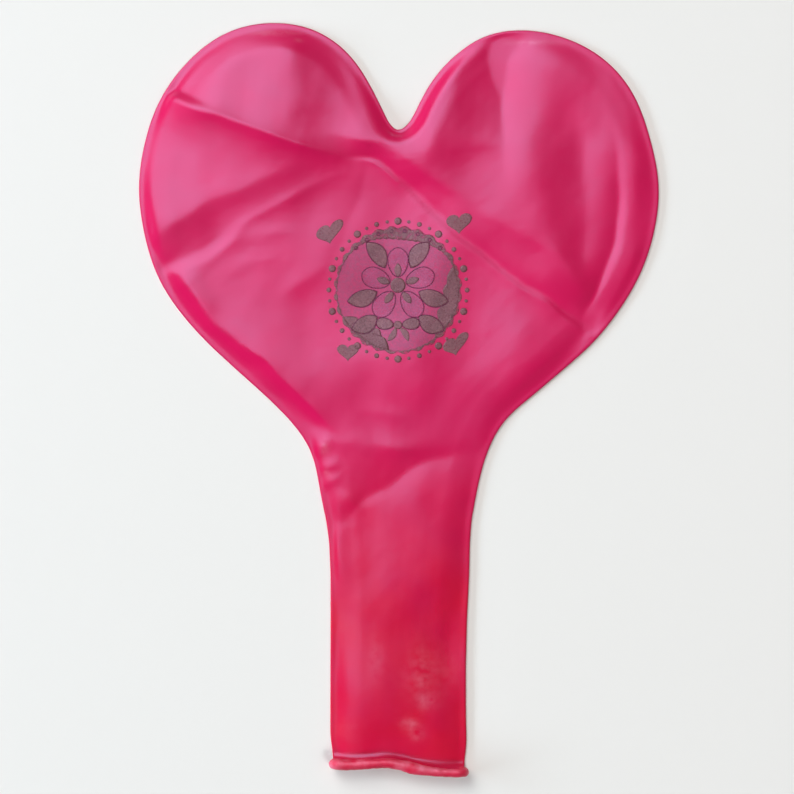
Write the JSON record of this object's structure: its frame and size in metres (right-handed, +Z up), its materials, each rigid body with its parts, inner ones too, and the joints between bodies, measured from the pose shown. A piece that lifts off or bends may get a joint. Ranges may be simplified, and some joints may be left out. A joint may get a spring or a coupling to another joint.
{
  "type": "heart-shaped latex balloon",
  "caption": "Heart-shaped pearl latex balloon lying flat and not inflated, with a long open neck, a rolled lip and a round printed design on its front.",
  "frame": {"origin": "on the table that the balloon lies on, in the middle of its width and its length", "axes": "+Z up from the table towards the printed front, +Y from the mouth along the neck to the lobes, +X to the right seen from above"},
  "size_m": [0.11, 0.1597, 0.0048],
  "materials": {
    "pearl_latex": "pearl satin",
    "lip_latex": "satin, thick and lightly dusted",
    "ink": "matt printed film",
    "tint_ink": "thin matt printed film"
  },
  "bodies": {
    "heart": {"heart_back_wall": "pearl_latex", "heart_front_wall": "pearl_latex", "print_tint_disc": "tint_ink", "print_lace_frame": "ink", "print_pearl_ring": "ink", "print_heart_upper_left": "ink", "print_heart_upper_right": "ink", "print_heart_lower_left": "ink", "print_heart_lower_right": "ink", "print_flower_petals": "ink", "print_flower_centre": "ink", "print_leaves": "ink", "print_ribbon_bow": "ink"},
    "neck": {"neck_back_wall": "pearl_latex", "neck_front_wall": "pearl_latex", "rolled_bead": "lip_latex"}
  },
  "joints": [
    {"name": "neck_fold", "type": "hinge", "parent": "heart", "child": "neck", "pos_m": [0, -0.0252, 0.00205], "axis": [-1, 0, 0], "range_deg": [0, 170]}
  ]
}
